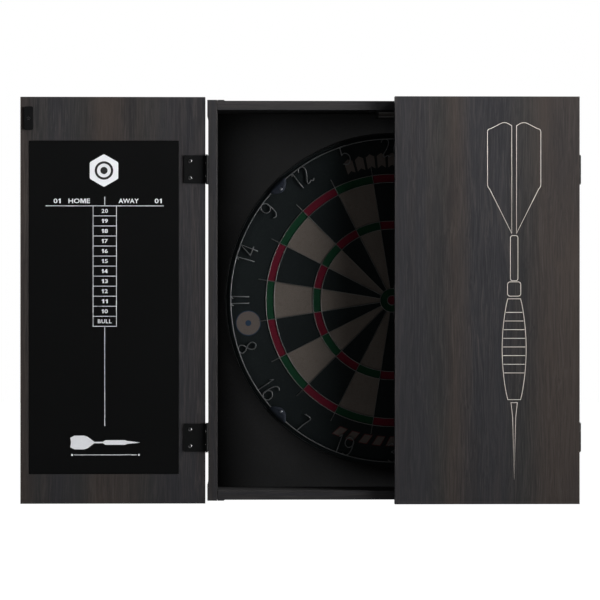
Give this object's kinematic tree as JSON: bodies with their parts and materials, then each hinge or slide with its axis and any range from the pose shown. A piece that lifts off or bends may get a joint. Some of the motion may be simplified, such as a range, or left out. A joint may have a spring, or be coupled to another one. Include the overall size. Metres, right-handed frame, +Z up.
{
  "type": "dartboard cabinet",
  "caption": "Wall-hung dartboard cabinet with two hinged doors, a score panel and a bristle dartboard that lifts off and turns.",
  "frame": {"origin": "centre of the case's rear face, on the wall plane, behind the bull", "axes": "+X to the right seen from the front, +Y towards the wall, +Z up; the front faces -Y"},
  "size_m": [0.748, 0.0975, 0.542],
  "materials": {
    "wood_effect": "satin charcoal wood-effect laminate on fibreboard, grain running up",
    "black_panel": "matt black painted fibreboard",
    "score_black": "black dry-wipe score panel with white markings",
    "black_steel": "black plated steel",
    "bright_steel": "zinc plated steel",
    "magnet": "ferrite",
    "black_plastic": "moulded, fine texture",
    "clip_plastic": "blue-grey moulded",
    "sisal": "compressed sisal bristle, dyed black, cream, red and green by sector, on a backing board",
    "black_band": "black painted steel band",
    "wire": "thin steel wire",
    "white_wire": "light grey painted wire"
  },
  "bodies": {
    "cabinet": {"back_panel": "black_panel", "left_side_panel": "wood_effect", "right_side_panel": "wood_effect", "top_panel": "wood_effect", "bottom_panel": "wood_effect", "catch_housing": "black_plastic", "catch_magnet": "magnet", "catch_pole_upper": "bright_steel", "catch_pole_lower": "bright_steel", "catch_screw_left": "bright_steel", "catch_screw_right": "bright_steel", "board_bracket": "bright_steel", "bracket_screw_left": "bright_steel", "bracket_screw_right": "bright_steel", "left_upper_hinge_case_leaf": "black_steel", "left_upper_hinge_pin": "black_steel", "left_upper_hinge_case_screw_low": "black_steel", "left_upper_hinge_case_screw_high": "black_steel", "left_lower_hinge_case_leaf": "black_steel", "left_lower_hinge_pin": "black_steel", "left_lower_hinge_case_screw_low": "black_steel", "left_lower_hinge_case_screw_high": "black_steel", "right_upper_hinge_case_leaf": "black_steel", "right_upper_hinge_pin": "black_steel", "right_upper_hinge_case_screw_low": "black_steel", "right_upper_hinge_case_screw_high": "black_steel", "right_lower_hinge_case_leaf": "black_steel", "right_lower_hinge_pin": "black_steel", "right_lower_hinge_case_screw_low": "black_steel", "right_lower_hinge_case_screw_high": "black_steel"},
    "left_door": {"left_door_panel": "wood_effect", "score_panel": "score_black", "left_strike_plate": "black_steel", "left_strike_screw": "black_steel", "left_upper_hinge_door_leaf": "black_steel", "left_upper_hinge_door_screw_low": "black_steel", "left_upper_hinge_door_screw_high": "black_steel", "left_lower_hinge_door_leaf": "black_steel", "left_lower_hinge_door_screw_low": "black_steel", "left_lower_hinge_door_screw_high": "black_steel"},
    "right_door": {"right_door_panel": "wood_effect", "dart_rack": "black_plastic", "right_strike_plate": "black_steel", "right_strike_screw": "black_steel", "right_upper_hinge_door_leaf": "black_steel", "right_upper_hinge_door_screw_low": "black_steel", "right_upper_hinge_door_screw_high": "black_steel", "right_lower_hinge_door_leaf": "black_steel", "right_lower_hinge_door_screw_low": "black_steel", "right_lower_hinge_door_screw_high": "black_steel"},
    "hanger": {"hanger_screw": "bright_steel"},
    "board": {"board_core": "sisal", "board_band": "black_band", "spider": "wire", "bull_ring": "wire", "number_ring": "white_wire", "number_ring_clip_upper_left": "clip_plastic", "number_ring_clip_upper_right": "clip_plastic", "number_ring_clip_lower_left": "clip_plastic", "number_ring_clip_lower_right": "clip_plastic"}
  },
  "joints": [
    {"name": "left_door_hinge", "type": "hinge", "parent": "cabinet", "child": "left_door", "pos_m": [-0.249, -0.0805, 0], "axis": [0, 0, 1], "range_deg": [-5, 180]},
    {"name": "right_door_hinge", "type": "hinge", "parent": "cabinet", "child": "right_door", "pos_m": [0.249, -0.0805, 0], "axis": [0, 0, 1], "range_deg": [0, 185]},
    {"name": "board_lift", "type": "slide", "parent": "cabinet", "child": "hanger", "axis": [0, 0, 1], "range_m": [0, 0.02]},
    {"name": "board_turn", "type": "hinge", "parent": "hanger", "child": "board", "pos_m": [0, -0.049, 0], "axis": [0, -1, 0], "continuous": true}
  ]
}
